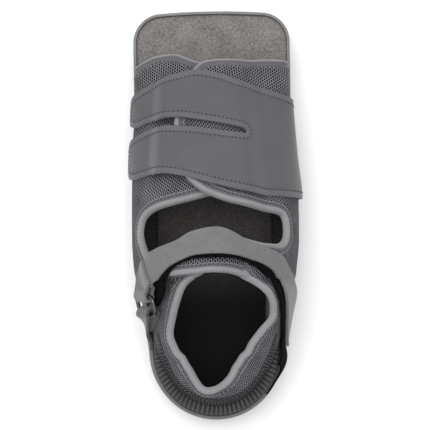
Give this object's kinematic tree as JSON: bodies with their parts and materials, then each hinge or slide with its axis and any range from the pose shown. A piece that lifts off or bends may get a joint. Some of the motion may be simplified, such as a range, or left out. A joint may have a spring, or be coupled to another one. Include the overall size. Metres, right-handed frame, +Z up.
{
  "type": "offloading shoe",
  "caption": "Open-toed offloading shoe for use after foot surgery: square-toed rocker sole, mesh upper in overlapping halves, slit forefoot strap, and ankle strap doubled through a ring.",
  "frame": {"origin": "on the flat tread face, at the middle of the sole's length and width", "axes": "+X to the right seen from above with the toe ahead, +Y towards the toe, +Z up"},
  "size_m": [0.1226, 0.29, 0.118],
  "materials": {
    "sole_foam": "matt moulded foam",
    "footbed_felt": "brushed felt",
    "air_mesh": "knitted spacer mesh",
    "binding_tape": "folded woven tape",
    "strap_cloth": "smooth woven strap cloth",
    "black_lining": "matt black padded lining",
    "loop_felt": "brushed loop pile",
    "ring_metal": "satin dark steel wire"
  },
  "bodies": {
    "root": {"sole": "sole_foam", "insole": "footbed_felt", "left_upper": "air_mesh", "right_upper": "air_mesh", "left_binding": "binding_tape", "right_binding": "binding_tape", "forefoot_strap": "strap_cloth", "strap_lining": "black_lining", "ankle_strap": "loop_felt", "ring": "ring_metal", "ring_tab": "strap_cloth"}
  },
  "joints": []
}
